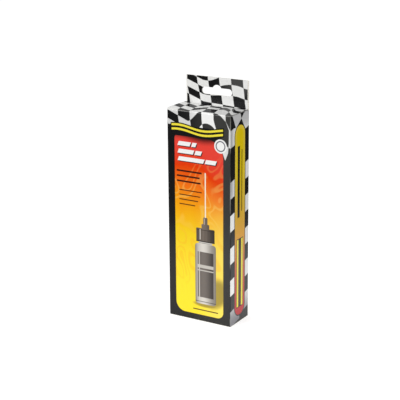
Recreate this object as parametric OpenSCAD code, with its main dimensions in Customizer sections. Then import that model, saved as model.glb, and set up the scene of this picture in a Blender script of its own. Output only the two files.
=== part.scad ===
// Boxed needle-tip tube of dry lock lubricant: a folding carton with a hang tab and an opening lid,
// and the screw-capped squeeze tube that stands inside it.
// Origin at the middle of the carton's footprint on the floor; +X to its right, +Y to its back, +Z up; mm.

/* [Carton] */
// outside width across the front
carton_w = 50.3; // [44:0.1:70]
// outside depth from front to back
carton_d = 26.1; // [24:0.1:40]
// outside height from the floor to the closed lid
carton_h = 152; // [140:1:200]
// thickness of the board
board_t = 0.45; // [0.3:0.05:0.6]
// outside radius of the upright folds
fold_r = 0.7; // [0.7:0.1:1.5]
// gap between flaps that move past each other
flap_gap = 0.3; // [0.2:0.05:0.5]
// width of the glue flap inside the back
glue_flap_w = 10; // [6:0.5:10.5]
// slant at the ends of the glue flap
glue_flap_slant = 4; // [1:0.5:8]

/* [Hang tab] */
// height of the tab above the lid
tab_h = 19.7; // [18:0.1:30]
// how far each end of the tab's back layer stays in from the carton's side
tab_inset = 0.2; // [0.1:0.05:3]
// how far each end of the tab's folded front layer stays in from the carton's side
tab_fold_inset = 1; // [0.5:0.1:4]
// radius of the tab's upper corners
tab_corner_r = 0.6; // [0.4:0.1:3]
// length of the hang slot
slot_w = 24; // [18:0.5:32]
// height of the hang slot
slot_h = 5; // [4.5:0.1:7]
// height of the slot's lower edge above the lid
slot_z = 7.3; // [5:0.1:9]
// radius of the round peg notch in the slot's upper edge
notch_r = 3.9; // [3:0.1:4.5]
// rise of the peg notch above the slot's upper edge
notch_rise = 2.1; // [1:0.1:2.8]
// reach of the tab's folded front layer below the lid
tab_tail = 2; // [1:0.1:4]

/* [Lid] */
// gap between the lid's back fold and the tab
tuck_gap = 0.8; // [0.6:0.05:1.2]
// depth of the tuck flap
tuck_h = 10; // [6:0.5:11]
// radius of the tuck flap's lower corners
tuck_r = 5; // [2:0.5:6]
// how far each end of the lid stays in from the carton's side
lid_inset = 0.15; // [0.05:0.05:0.5]
// length of the dust flaps under the lid
dust_len = 16; // [10:0.5:18]
// slant of the dust flaps' front edge in degrees
dust_front_slant = 31; // [29:1:35]
// slant of the dust flaps' back edge in degrees
dust_back_slant = 5; // [2:1:10]

/* [Bottom] */
// length of the side flaps glued in the bottom
bottom_side_len = 20; // [14:0.5:21]

/* [Bottle] */
// room between the bottle and the carton's front and back walls
bottle_slack = 1.8; // [0.8:0.1:2.4]
// height of the bottle up to its shoulder
bottle_h = 55.5; // [45:0.5:70]
// wall of the bottle
bottle_wall = 0.9; // [0.6:0.1:1.3]
// radius at the bottle's foot
foot_r = 1.6; // [1.4:0.1:2.5]
// radius of the bottle's shoulder
shoulder_r = 3; // [2:0.1:3.4]
// depth of the hollow under the bottle's foot
pushup_h = 0.6; // [0.3:0.1:1]
// width of the standing rim round that hollow
pushup_rim = 3.5; // [2.5:0.1:5]
// outside diameter of the neck
neck_d = 13; // [12:0.1:13.2]
// bore of the neck
neck_bore_d = 9.5; // [7:0.1:10]
// bead round the foot of the neck, outside diameter
neck_bead_d = 15.2; // [14:0.1:15.8]
// height of that bead
neck_bead_h = 0.8; // [0.4:0.1:0.9]

/* [Label and powder] */
// thickness of the label film
label_t = 0.12; // [0.08:0.02:0.3]
// glue line between the label and the bottle
label_gap = 0.03; // [0.01:0.01:0.08]
// distance from each end of the bottle's straight wall to the label
label_margin = 4; // [1:0.5:10]
// how far round the bottle the label goes in degrees
label_wrap = 300; // [180:5:350]
// part of the bottle's height filled with powder
powder_fill = 0.8; // [0.4:0.05:0.88]
// slack between the powder and the bottle's wall
powder_gap = 0.08; // [0.04:0.01:0.2]
// rise of the powder's heaped middle
powder_heap = 3; // [0.5:0.5:4]

/* [Screw cap] */
// outside diameter of the cap
cap_d = 18.5; // [18:0.1:19.5]
// height of the cap
cap_h = 12; // [11:0.1:15]
// thickness of the cap's top plate
cap_top_t = 1.6; // [1:0.1:2]
// bore of the cap over the neck's thread
cap_bore_d = 15; // [14.8:0.1:15.6]
// gap between the bottle's shoulder and the cap's lower edge
cap_lift = 1.2; // [1:0.1:2]
// number of grip flutes round the cap
flute_count = 36; // [12:1:48]
// radius of a grip flute
flute_r = 0.55; // [0.3:0.05:0.7]
// depth of a grip flute
flute_depth = 0.3; // [0.15:0.05:0.4]
// bevel round the cap's upper edge
cap_bevel = 0.8; // [0.3:0.1:1.2]
// thickness of the sealing washer
washer_t = 1; // [0.6:0.1:1.5]
// hole in the sealing washer
washer_hole_d = 5; // [3:0.1:6]

/* [Thread] */
// rise of the thread in one turn
thread_pitch = 3; // [2.8:0.1:3.4]
// turns of the thread
thread_turns = 1.5; // [1:0.25:1.5]
// height of the thread's ridge where it meets the wall
thread_base = 1.2; // [0.8:0.05:1.25]
// height of the thread's ridge at its crest
thread_crest = 0.6; // [0.3:0.05:0.7]
// gap between a ridge's crest and the facing wall
thread_gap = 0.25; // [0.15:0.05:0.35]
// how far the thread starts above the bottle's shoulder
thread_start = 2.6; // [2.2:0.1:3]
// steps in one turn of the thread
thread_steps = 24; // [16:1:36]

/* [Needle] */
// flange of the needle hub inside the cap, diameter
hub_flange_d = 13; // [11:0.1:13.2]
// thickness of that flange
hub_flange_t = 1.2; // [0.8:0.1:1.6]
// diameter of the hub's collar
hub_collar_d = 7.9; // [6.5:0.1:9]
// height of the hub's collar above the cap
hub_collar_h = 4.2; // [2:0.1:6]
// bevel round the collar's upper edge
hub_collar_bevel = 0.7; // [0.2:0.1:1]
// diameter of the hub's barrel
hub_barrel_d = 4.4; // [3.4:0.1:5]
// height of the hub's barrel above its collar
hub_barrel_h = 6; // [4:0.1:9]
// radius round the barrel's upper edge
hub_barrel_r = 1.1; // [0.4:0.1:1.2]
// slack of the hub in the cap's hole
hub_gap = 0.08; // [0.04:0.01:0.15]
// passage for the powder up through the hub
hub_feed_d = 2; // [1:0.1:2.5]
// outside diameter of the needle
needle_od = 1.27; // [1:0.01:1.6]
// bore of the needle
needle_id = 0.84; // [0.5:0.01:0.9]
// length of the needle above its hub
needle_len = 39.5; // [20:0.5:50]
// length of the needle held in its hub
needle_held = 7; // [4:0.5:9]
// glue line round the needle
needle_gap = 0.02; // [0.01:0.01:0.05]

/* [Hidden] */
$fn = 96;

// overshoot of cutting shapes past the faces they cut
cut = 1;
half_w = carton_w / 2;
half_d = carton_d / 2;
mitre = fold_r + 2 * board_t;
lid_under_z = carton_h - board_t;
dust_z = lid_under_z - flap_gap / 2 - board_t;
tab_front_y = half_d - 2 * board_t;
lid_back_y = tab_front_y - tuck_gap;
dust_front_y = -half_d + board_t + flap_gap;
dust_back_y = lid_back_y - board_t - 2 * flap_gap;
tuck_half_w = half_w - board_t - 2 * flap_gap;
floor_half_w = half_w - board_t - 2 * flap_gap;
floor_z = 3 * board_t;
bottle_r = carton_d / 2 - board_t - bottle_slack;
bottle_floor = bottle_wall + pushup_h;
inner_r = bottle_r - bottle_wall;
inner_h = bottle_h - bottle_wall - bottle_floor;
neck_r = neck_d / 2;
neck_h = cap_lift + cap_h - cap_top_t - hub_flange_t - washer_t;
label_h = bottle_h - foot_r - shoulder_r - 2 * label_margin;
powder_top = bottle_floor + powder_fill * inner_h - powder_heap;
cap_z = bottle_h + cap_lift;
cap_inner_h = cap_h - cap_top_t;
cap_bore_r = cap_bore_d / 2;
washer_z = bottle_h + neck_h;
hub_z = washer_z + washer_t;
cap_top_z = cap_z + cap_h;
hub_collar_r = hub_collar_d / 2;
hub_barrel_r_out = hub_barrel_d / 2;
hub_collar_z = cap_top_z + hub_collar_h;
hub_top_z = hub_collar_z + hub_barrel_h;
needle_z = hub_top_z - needle_held;
neck_thread_z = bottle_h + thread_start;
cap_thread_z = neck_thread_z + thread_pitch / 2;
board_black = [0.16, 0.15, 0.16];
board_white = [0.86, 0.85, 0.82];

module rounded_rect(w, d, r) {
    square([w - 2 * r, d], center = true);
    square([w, d - 2 * r], center = true);
    for (sx = [-1, 1], sy = [-1, 1])
        translate([sx * (w / 2 - r), sy * (d / 2 - r)])
            circle(r);
}

// plan of the four walls with rounded upright folds
module wall_ring() {
    difference() {
        rounded_rect(carton_w, carton_d, fold_r);
        rounded_rect(carton_w - 2 * board_t, carton_d - 2 * board_t, fold_r - board_t);
    }
}

// one wall of the ring, mitred at its two folds; side is [0, -1] front, [1, 0] right and so on
module wall(side, top_z) {
    long = abs(side[1]) * half_w + abs(side[0]) * half_d;
    deep = abs(side[1]) * half_d + abs(side[0]) * half_w;
    translate([0, 0, board_t])
        linear_extrude(top_z - board_t)
            intersection() {
                wall_ring();
                rotate(atan2(side[1], side[0]) + 90)
                    polygon([
                        [-long - cut, -deep - cut],
                        [long + cut, -deep - cut],
                        [long - mitre, -deep + mitre],
                        [-long + mitre, -deep + mitre]
                    ]);
            }
}

// outline of the hang tab, drawn with x across and y up from the lid's level;
// its tail below that level stays clear of the side walls' folds
module tab_outline(inset) {
    w = carton_w - 2 * inset;
    tail_w = carton_w - 2 * mitre;
    difference() {
        union() {
            translate([-w / 2, 0])
                square([w, tab_h - tab_corner_r]);
            translate([-tail_w / 2, -tab_tail])
                square([tail_w, tab_h]);
            translate([-w / 2 + tab_corner_r, 0])
                square([w - 2 * tab_corner_r, tab_h]);
            for (sx = [-1, 1])
                translate([sx * (w / 2 - tab_corner_r), tab_h - tab_corner_r])
                    circle(tab_corner_r);
        }
        hang_slot();
    }
}

module hang_slot() {
    slot_r = slot_h / 2;
    notch_z = slot_z + slot_h + notch_rise - notch_r;
    translate([-slot_w / 2 + slot_r, slot_z])
        square([slot_w - slot_h, slot_h]);
    for (sx = [-1, 1])
        translate([sx * (slot_w / 2 - slot_r), slot_z + slot_r])
            circle(slot_r);
    intersection() {
        translate([0, notch_z])
            circle(notch_r);
        translate([-notch_r, slot_z])
            square([2 * notch_r, tab_h]);
    }
}

// stands a flat drawing up in a board's thickness, its back face at y
module upright(y, z) {
    translate([0, y, z])
        rotate([90, 0, 0])
            linear_extrude(board_t)
                children();
}

module front_panel() {
    color(board_black) wall([0, -1], lid_under_z);
}

module right_panel() {
    color(board_black) wall([1, 0], dust_z);
}

module left_panel() {
    color(board_black) wall([-1, 0], dust_z);
}

module back_panel() {
    color(board_black) {
        wall([0, 1], carton_h);
        upright(half_d, carton_h) tab_outline(tab_inset);
    }
}

module hang_tab_fold() {
    color(board_white) upright(half_d - board_t, carton_h) tab_outline(tab_fold_inset);
}

module glue_flap() {
    x0 = -half_w + fold_r;
    z0 = floor_z + flap_gap;
    z1 = carton_h - tab_tail - 2 * flap_gap;
    color(board_white)
        upright(half_d - board_t, 0)
            polygon([
                [x0, z0],
                [x0 + glue_flap_w, z0 + glue_flap_slant],
                [x0 + glue_flap_w, z1 - glue_flap_slant],
                [x0, z1]
            ]);
}

module top_lid() {
    lid_d = lid_back_y + half_d;
    color(board_white)
        translate([0, -half_d + lid_d / 2, lid_under_z])
            linear_extrude(board_t)
                rounded_rect(carton_w - 2 * lid_inset, lid_d, board_t);
}

module tuck_flap() {
    color(board_white)
        upright(lid_back_y, lid_under_z) {
            translate([-tuck_half_w, -tuck_h + tuck_r])
                square([2 * tuck_half_w, tuck_h - tuck_r]);
            translate([-tuck_half_w + tuck_r, -tuck_h])
                square([2 * (tuck_half_w - tuck_r), tuck_h]);
            for (sx = [-1, 1])
                translate([sx * (tuck_half_w - tuck_r), -tuck_h + tuck_r])
                    circle(tuck_r);
        }
}

// plan of the left dust flap; its front edge slants so that it stays under the rising lid
module dust_outline() {
    polygon([
        [-half_w, dust_front_y],
        [-half_w + dust_len, dust_front_y + dust_len * tan(dust_front_slant)],
        [-half_w + dust_len, dust_back_y - dust_len * tan(dust_back_slant)],
        [-half_w, dust_back_y]
    ]);
}

module left_dust_flap() {
    color(board_white)
        translate([0, 0, dust_z])
            linear_extrude(board_t)
                dust_outline();
}

module right_dust_flap() {
    mirror([1, 0, 0]) left_dust_flap();
}

module bottom_outer_flap() {
    color(board_black)
        linear_extrude(board_t)
            rounded_rect(carton_w, carton_d, fold_r);
}

module bottom_inner_flap() {
    y0 = -half_d + board_t + flap_gap;
    color(board_white)
        translate([-floor_half_w, y0, board_t])
            cube([2 * floor_half_w, half_d - board_t - y0, board_t]);
}

module bottom_right_flap() {
    flap_d = carton_d - 2 * board_t - 4 * flap_gap;
    color(board_white)
        translate([half_w - board_t - bottom_side_len, -flap_d / 2, 2 * board_t])
            cube([bottom_side_len, flap_d, board_t]);
}

module bottom_left_flap() {
    mirror([1, 0, 0]) bottom_right_flap();
}

// half outline of a bottle-shaped solid: foot and shoulder rounded
module body_profile(r, z0, z1, r_foot, r_top) {
    translate([0, z0 + r_foot])
        square([r, z1 - z0 - r_foot - r_top]);
    translate([0, z0])
        square([r - max(r_foot, r_top), z1 - z0]);
    translate([0, z0])
        square([r - r_foot, r_foot]);
    translate([r - r_foot, z0 + r_foot])
        circle(r_foot);
    translate([r - r_top, z1 - r_top])
        circle(r_top);
}

// a ridge that climbs round the axis, from radius r_wall to radius r_crest
module helix_ridge(r_wall, r_crest, z0) {
    n = round(thread_steps * thread_turns);
    corner = [
        [r_wall, -thread_base / 2],
        [r_crest, -thread_crest / 2],
        [r_crest, thread_crest / 2],
        [r_wall, thread_base / 2]
    ];
    points = [
        for (i = [0 : n], c = corner)
            let (a = 360 * thread_turns * i / n)
                [c[0] * cos(a), c[0] * sin(a), z0 + thread_pitch * thread_turns * i / n + c[1]]
    ];
    walls = [
        for (i = [0 : n - 1], k = [0 : 3])
            let (a = 4 * i + k, b = 4 * i + (k + 1) % 4)
                each [[a, b, b + 4], [a, b + 4, a + 4]]
    ];
    ends = [[0, 2, 1], [0, 3, 2], [4 * n, 4 * n + 1, 4 * n + 2], [4 * n, 4 * n + 2, 4 * n + 3]];
    faces = concat(walls, ends);
    outward = r_crest > r_wall;
    polyhedron(points, outward ? faces : [for (f = faces) [f[2], f[1], f[0]]]);
}

module tube_place() {
    translate([0, 0, floor_z]) children();
}

module bottle() {
    wall_sink = bottle_wall / 3;
    color([0.9, 0.9, 0.87, 0.7])
        tube_place()
            difference() {
                union() {
                    rotate_extrude() {
                        body_profile(bottle_r, 0, bottle_h, foot_r, shoulder_r);
                        square([neck_r, bottle_h + neck_h]);
                        translate([0, bottle_h - bottle_wall])
                            square([neck_bead_d / 2, bottle_wall + neck_bead_h]);
                    }
                    helix_ridge(neck_r - wall_sink, cap_bore_r - thread_gap, neck_thread_z);
                }
                rotate_extrude()
                    body_profile(inner_r, bottle_floor, bottle_h - bottle_wall,
                        foot_r - bottle_wall, shoulder_r - bottle_wall);
                translate([0, 0, bottle_h - bottle_wall - cut])
                    cylinder(d = neck_bore_d, h = bottle_wall + neck_h + 2 * cut);
                translate([0, 0, -cut])
                    cylinder(r = bottle_r - pushup_rim, h = pushup_h + cut);
            }
}

module bottle_label() {
    color([0.93, 0.93, 0.9])
        tube_place()
            translate([0, 0, foot_r + label_margin])
                rotate(90 + (360 - label_wrap) / 2)
                    rotate_extrude(angle = label_wrap)
                        translate([bottle_r + label_gap, 0])
                            square([label_t, label_h]);
}

module graphite_powder() {
    r = inner_r - powder_gap;
    bevel = foot_r - bottle_wall;
    z0 = bottle_floor + powder_gap;
    color([0.2, 0.2, 0.22])
        tube_place()
            rotate_extrude()
                polygon([
                    [0, z0],
                    [r - bevel, z0],
                    [r, z0 + bevel],
                    [r, powder_top],
                    [0, powder_top + powder_heap]
                ]);
}

module sealing_washer() {
    color([0.92, 0.92, 0.9])
        tube_place()
            translate([0, 0, washer_z])
                difference() {
                    cylinder(r = neck_r, h = washer_t);
                    translate([0, 0, -cut])
                        cylinder(d = washer_hole_d, h = washer_t + 2 * cut);
                }
}

module screw_cap() {
    cap_r = cap_d / 2;
    wall_sink = (cap_r - cap_bore_r) / 3;
    color([0.17, 0.13, 0.12])
        tube_place()
            difference() {
                union() {
                    difference() {
                        rotate_extrude()
                            polygon([
                                [0, cap_z],
                                [cap_r, cap_z],
                                [cap_r, cap_top_z - cap_bevel],
                                [cap_r - cap_bevel, cap_top_z],
                                [0, cap_top_z]
                            ]);
                        translate([0, 0, cap_z - cut])
                            cylinder(r = cap_bore_r, h = cap_inner_h + cut);
                    }
                    helix_ridge(cap_bore_r + wall_sink, neck_r + thread_gap, cap_thread_z);
                }
                translate([0, 0, cap_z])
                    cylinder(r = hub_collar_r + hub_gap, h = cap_h + cut);
                for (i = [0 : flute_count - 1])
                    rotate(360 * i / flute_count)
                        translate([cap_r + flute_r - flute_depth, 0, cap_z - cut])
                            cylinder(r = flute_r, h = cap_h - cap_bevel + cut, $fn = 24);
            }
}

module needle_hub() {
    socket_r = needle_od / 2 + needle_gap;
    color([0.2, 0.16, 0.15])
        tube_place()
            difference() {
                rotate_extrude() {
                    translate([0, hub_z])
                        square([hub_flange_d / 2, hub_flange_t]);
                    polygon([
                        [0, hub_z],
                        [hub_collar_r, hub_z],
                        [hub_collar_r, hub_collar_z - hub_collar_bevel],
                        [hub_collar_r - hub_collar_bevel, hub_collar_z],
                        [0, hub_collar_z]
                    ]);
                    translate([0, hub_z])
                        square([hub_barrel_r_out - hub_barrel_r, hub_top_z - hub_z]);
                    translate([0, hub_z])
                        square([hub_barrel_r_out, hub_top_z - hub_barrel_r - hub_z]);
                    translate([hub_barrel_r_out - hub_barrel_r, hub_top_z - hub_barrel_r])
                        circle(hub_barrel_r);
                }
                translate([0, 0, -cut])
                    cylinder(d = hub_feed_d, h = needle_z + cut);
                translate([0, 0, needle_z - cut])
                    cylinder(r = socket_r, h = needle_held + 2 * cut);
            }
}

module needle_tube() {
    color([0.75, 0.76, 0.78])
        tube_place()
            translate([0, 0, needle_z])
                difference() {
                    cylinder(d = needle_od, h = needle_held + needle_len);
                    translate([0, 0, -cut])
                        cylinder(d = needle_id, h = needle_held + needle_len + 2 * cut);
                }
}

front_panel();
right_panel();
back_panel();
left_panel();
glue_flap();
hang_tab_fold();
top_lid();
tuck_flap();
left_dust_flap();
right_dust_flap();
bottom_outer_flap();
bottom_inner_flap();
bottom_left_flap();
bottom_right_flap();
bottle();
bottle_label();
graphite_powder();
sealing_washer();
screw_cap();
needle_hub();
needle_tube();
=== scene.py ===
"""Looks of the boxed needle tube: printed carton, tube inside it, camera, light and floor."""

import math

import bmesh
import bpy
from mathutils import Matrix, Vector


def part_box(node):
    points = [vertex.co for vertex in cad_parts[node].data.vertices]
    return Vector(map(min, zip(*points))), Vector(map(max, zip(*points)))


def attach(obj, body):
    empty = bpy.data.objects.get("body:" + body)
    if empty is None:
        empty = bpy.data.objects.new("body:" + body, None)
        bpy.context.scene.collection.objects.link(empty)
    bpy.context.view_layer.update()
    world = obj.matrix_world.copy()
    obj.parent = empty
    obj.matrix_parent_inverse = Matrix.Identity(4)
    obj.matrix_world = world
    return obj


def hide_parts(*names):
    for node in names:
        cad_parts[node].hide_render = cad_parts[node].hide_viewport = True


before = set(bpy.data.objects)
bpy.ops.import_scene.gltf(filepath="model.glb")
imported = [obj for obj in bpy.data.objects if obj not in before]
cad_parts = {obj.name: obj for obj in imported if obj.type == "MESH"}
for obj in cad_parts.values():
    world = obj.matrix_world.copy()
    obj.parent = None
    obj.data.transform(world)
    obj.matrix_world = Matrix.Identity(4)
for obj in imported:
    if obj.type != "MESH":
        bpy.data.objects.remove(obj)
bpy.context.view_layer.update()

MM = 0.001
TURN = 2 * math.pi


def span(node):
    """Lowest and highest corner of a CAD node, in millimetres."""
    low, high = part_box(node)
    return [v / MM for v in low], [v / MM for v in high]


# Sizes of the carton and the tube in mm, read from the frame
FOOT_LOW, FOOT_HIGH = span("bottom_outer_flap")
WIDTH = FOOT_HIGH[0] - FOOT_LOW[0]
DEPTH = FOOT_HIGH[1] - FOOT_LOW[1]
BOARD = FOOT_HIGH[2] - FOOT_LOW[2]
LID_LOW, LID_HIGH = span("top_lid")
HEIGHT = LID_HIGH[2]
SIDE_TOP = span("right_panel")[1][2]
LABEL_LOW, LABEL_HIGH = span("bottle_label")
POWDER_LOW, POWDER_HIGH = span("graphite_powder")
HALF_W = WIDTH / 2
HALF_D = DEPTH / 2

# Radius of the upright folds and of the lid's front fold, mm
FOLD_R = 0.7
LID_FOLD_R = 0.9


class Ink:
    """A socket in a node tree; arithmetic on it adds Math nodes."""

    def __init__(self, tree, socket=None):
        self.tree = tree
        self.socket = socket

    def node(self, kind, inputs=None, out=0, **settings):
        """Adds a node: its settings, then its inputs by name or number; gives one output or several."""
        made = self.tree.nodes.new(kind)
        for name, value in settings.items():
            setattr(made, name, value)
        for key, value in (inputs or {}).items():
            self.feed(made.inputs[key], value)
        if isinstance(out, tuple):
            return [Ink(self.tree, made.outputs[o]) for o in out]
        return Ink(self.tree, made.outputs[out])

    def feed(self, socket, value):
        """Sets an input to a number or colour, or links it to another node."""
        if isinstance(value, Ink):
            self.tree.links.new(value.socket, socket)
        elif socket.type == "RGBA":
            socket.default_value = (*value, 1.0)
        else:
            socket.default_value = value

    def math(self, operation, *others):
        inputs = dict(enumerate((self,) + others))
        return self.node("ShaderNodeMath", inputs, operation=operation)

    def __add__(self, other):
        return self.math("ADD", other)

    def __sub__(self, other):
        return self.math("SUBTRACT", other)

    def __mul__(self, other):
        return self.math("MULTIPLY", other)

    def __truediv__(self, other):
        return self.math("DIVIDE", other)

    def __rsub__(self, other):
        return (self * -1.0) + other

    def __abs__(self):
        return self.math("ABSOLUTE")

    __radd__ = __add__
    __rmul__ = __mul__

    def least(self, other):
        return self.math("MINIMUM", other)

    def most(self, other):
        return self.math("MAXIMUM", other)

    def sin(self):
        return self.math("SINE")

    def root(self):
        return self.math("SQRT")

    def over(self, limit):
        return self.math("GREATER_THAN", limit)

    def ramp(self, start, end, shape="LINEAR"):
        """0 at start to 1 at end."""
        inputs = {"Value": self, "From Min": start, "From Max": end}
        return self.node("ShaderNodeMapRange", inputs, interpolation_type=shape, clamp=True)

    def soft(self, start, end):
        return self.ramp(start, end, "SMOOTHSTEP")

    def spread(self, low, high):
        """The value low where this is 0, and high where it is 1."""
        return self * (high - low) + low

    def between(self, a, b):
        """Colour a where this mask is 0, colour b where it is 1."""
        return self.node("ShaderNodeMix", {0: self, 6: a, 7: b}, out=2, data_type="RGBA")

    def paint(self, colour, mask):
        """This colour with another laid over it where mask is 1."""
        return mask.between(self, colour)

    def stretch(self, x, y, z):
        """This place scaled by a different amount along each axis."""
        inputs = {0: self, 1: (x, y, z)}
        return self.node("ShaderNodeVectorMath", inputs, operation="MULTIPLY")

    def noise(self, scale=1.0, detail=2.0, rough=0.5, twist=0.0):
        inputs = {"Vector": self, "Scale": scale, "Detail": detail, "Roughness": rough, "Distortion": twist}
        return self.node("ShaderNodeTexNoise", inputs)

    def split(self):
        return self.node("ShaderNodeSeparateXYZ", {0: self}, out=(0, 1, 2))


class Finish:
    """A new material: its Principled shader, and the place on the piece in millimetres."""

    def __init__(self, name):
        self.material = bpy.data.materials.new(name)
        self.material.use_nodes = True
        tree = self.material.node_tree
        self.shader = next(n for n in tree.nodes if n.type == "BSDF_PRINCIPLED")
        self.start = Ink(tree)
        metres = self.start.node("ShaderNodeTexCoord", out="Object")
        self.place = metres.stretch(1 / MM, 1 / MM, 1 / MM)

    def put(self, name, value):
        """Sets or links one of the shader's inputs."""
        self.start.feed(self.shader.inputs[name], value)
        return self

    def bump(self, height, depth, strength=0.35):
        inputs = {"Strength": strength, "Distance": MM * depth, "Height": height}
        return self.put("Normal", self.start.node("ShaderNodeBump", inputs))


def screen(r, g, b):
    """A colour given as 0 to 255 screen values, as linear light."""
    out = []
    for v in (r / 255, g / 255, b / 255):
        out.append(v / 12.92 if v <= 0.04045 else ((v + 0.055) / 1.055) ** 2.4)
    return tuple(out)


# Inks of the print
BLACK = screen(18, 18, 19)
# Lighter black for a painted sheen on the black print
SHEEN_BLACK = screen(60, 60, 58)
# Lighter black for a painted sheen on the tab
TAB_SHEEN_BLACK = screen(72, 72, 71)
FOOT_BLACK = screen(30, 30, 32)
WHITE = screen(246, 246, 244)
FLAG_SHADE = screen(216, 216, 215)
TAB_WHITE = screen(236, 236, 234)
# Darker white for painted shade on the lid
LID_PAINTED_SHADE = screen(212, 212, 211)
# Grey that darkens the side's pale squares towards the foot and paints shade on them
FOOT_AND_SHADE_GREY = screen(128, 128, 133)
RED = screen(232, 68, 56)
FLAME = screen(228, 58, 0)
ORANGE = screen(240, 112, 20)
AMBER = screen(244, 170, 8)
CORN = screen(243, 206, 10)
YELLOW = screen(252, 226, 36)
GLOW = screen(252, 228, 120)
GOLD = screen(224, 196, 0)
CRIMSON = screen(188, 42, 46)
STRIP_PALE = screen(232, 206, 120)
RULE_BROWN = screen(56, 22, 12)
RIBBON = screen(244, 228, 66)
DISC_GREY = screen(98, 100, 110)
BARE = screen(228, 225, 217)

# Half the width of the soft edge between two inks, in mm
INK_EDGE = 0.14


def inside(distance, soft=INK_EDGE):
    """1 where a signed distance in mm is below 0, with a thin soft edge."""
    return distance.ramp(soft, -soft)


def box_off(u, v, area):
    """Signed distance to a rectangle (u0, u1, v0, v1)."""
    u0, u1, v0, v1 = area
    across = abs(u - (u0 + u1) / 2) - (u1 - u0) / 2
    along = abs(v - (v0 + v1) / 2) - (v1 - v0) / 2
    return across.most(along)


def round_box_off(u, v, area, radius):
    """Signed distance to a rectangle with rounded corners; the radius may vary over the face."""
    u0, u1, v0, v1 = area
    across = abs(u - (u0 + u1) / 2) - (u1 - u0) / 2 + radius
    along = abs(v - (v0 + v1) / 2) - (v1 - v0) / 2 + radius
    out_u, out_v = across.most(0.0), along.most(0.0)
    return (out_u * out_u + out_v * out_v).root() + across.most(along).least(0.0) - radius


def oval_off(u, v, middle, reach):
    """Square of the distance from the middle of an oval, 1 on its rim."""
    across = (u - middle[0]) / reach[0]
    along = (v - middle[1]) / reach[1]
    return across * across + along * along


def bars(colour, u, v, ink, areas, lean=0.0):
    """Plain rules, slanted by lean."""
    for area in areas:
        slid = u - (v - area[2]) * lean if lean else u
        colour = colour.paint(ink, inside(box_off(slid, v, area)))
    return colour


def stepped(u, base, steps, shape="SMOOTHSTEP"):
    """A value across the board: base, changed by each step's amount from one place to another."""
    for start, end, amount in steps:
        base = u.ramp(start, end, shape) * amount + base
    return base


def heat(v, stops):
    """A colour that changes with v through (v, colour) stops from low to high."""
    colour = stops[0][1]
    for (v0, _), (v1, ink) in zip(stops, stops[1:]):
        colour = v.ramp(v0, v1).between(colour, ink)
    return colour


# Where painted sheen lightens the black ink: across the board, and up it
SHEEN_U, SHEEN_V = (8.0, 42.0), (-60.0, 120.0)


def black_with_sheen(u, v):
    """Black print with a painted sheen that lightens it towards the right, most of all higher up."""
    return (u.soft(*SHEEN_U) * v.ramp(*SHEEN_V)).between(BLACK, SHEEN_BLACK)


# Racing check, in mm on the unfolded board: width of a square, start of the first column, blur of an edge
CHECK_W, CHECK_START, CHECK_BLUR = 9.4, -0.6, 0.05
# Swing of its columns: length of a wave up the board, height of its peak, reach, and reach lost per mm across
LEAN_LENGTH, LEAN_PEAK, LEAN_REACH, LEAN_LOSS = 50.0, 176.0, 4.2, 0.045


def check(columns, rows):
    """1 on every other square of a check, from its column and row numbers."""
    a = (columns * math.pi).sin().ramp(-CHECK_BLUR, CHECK_BLUR)
    b = (rows * math.pi).sin().ramp(-CHECK_BLUR, CHECK_BLUR)
    return 1 - (a + b - a * b * 2.0)


def column_lean(u, v):
    """How far the check's columns swing to the right, in mm."""
    swing = ((v - LEAN_PEAK) * (TURN / LEAN_LENGTH) + TURN / 4).sin().ramp(-1.0, 1.0)
    return swing * (LEAN_REACH - u * LEAN_LOSS)


# The check over the lid: height from which its columns drift to the left, the drift per mm, its growth across
LID_V, LID_DRIFT, LID_DRIFT_GROWTH = 151.0, 0.13, 0.0036
# Sweep of the columns at the front's right: mm per mm below each height, and where it sets in across
SWEEPS = [(148.0, 0.34), (142.0, -0.48), (126.0, -0.25)]
SWEEP_U = (27.0, 47.0)
# The row line on the front: its height, a crest in its middle, and its slopes at both ends
FRONT_ROW_V = 145.0
CREST_RISE, CREST_FALL, CREST_HEIGHT = (16.0, 29.0), (52.4, 36.6), 9.5
FRONT_SLOPES = [(17.0, 1.0, 6.4), (46.8, 50.2, -3.6)]
# Height of the row under that line, with an arch under the crest (middle, start, bend, most)
UNDER_ROW, UNDER_STEPS = 6.0, [(14.0, 19.0, 3.5), (37.0, 41.0, 3.0)]
UNDER_SLOPES = [(47.0, 50.2, -4.0)]
ARCH_MID, ARCH_START, ARCH_BEND, ARCH_MOST = 31.5, (19.0, 25.0), 0.07, 3.5
# Heights of the first row over the line and of the later ones, and how far up a row the count starts
FIRST_ROW, FIRST_STEPS = 9.4, [(15.0, 21.0, -0.9), (25.0, 30.0, 1.5), (35.0, 43.0, 4.0)]
LATER_ROW, LATER_STEPS = 7.4, [(15.0, 21.0, -0.6), (24.0, 30.0, -2.2), (36.0, 40.0, 1.6)]
FRONT_COUNT = 0.02
# Height in which the front's shades change to the lid's, and where painted shade darkens the lid's white
LID_BLEND, LID_SHADE_U = 1.5, (32.0, 46.0)


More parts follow.
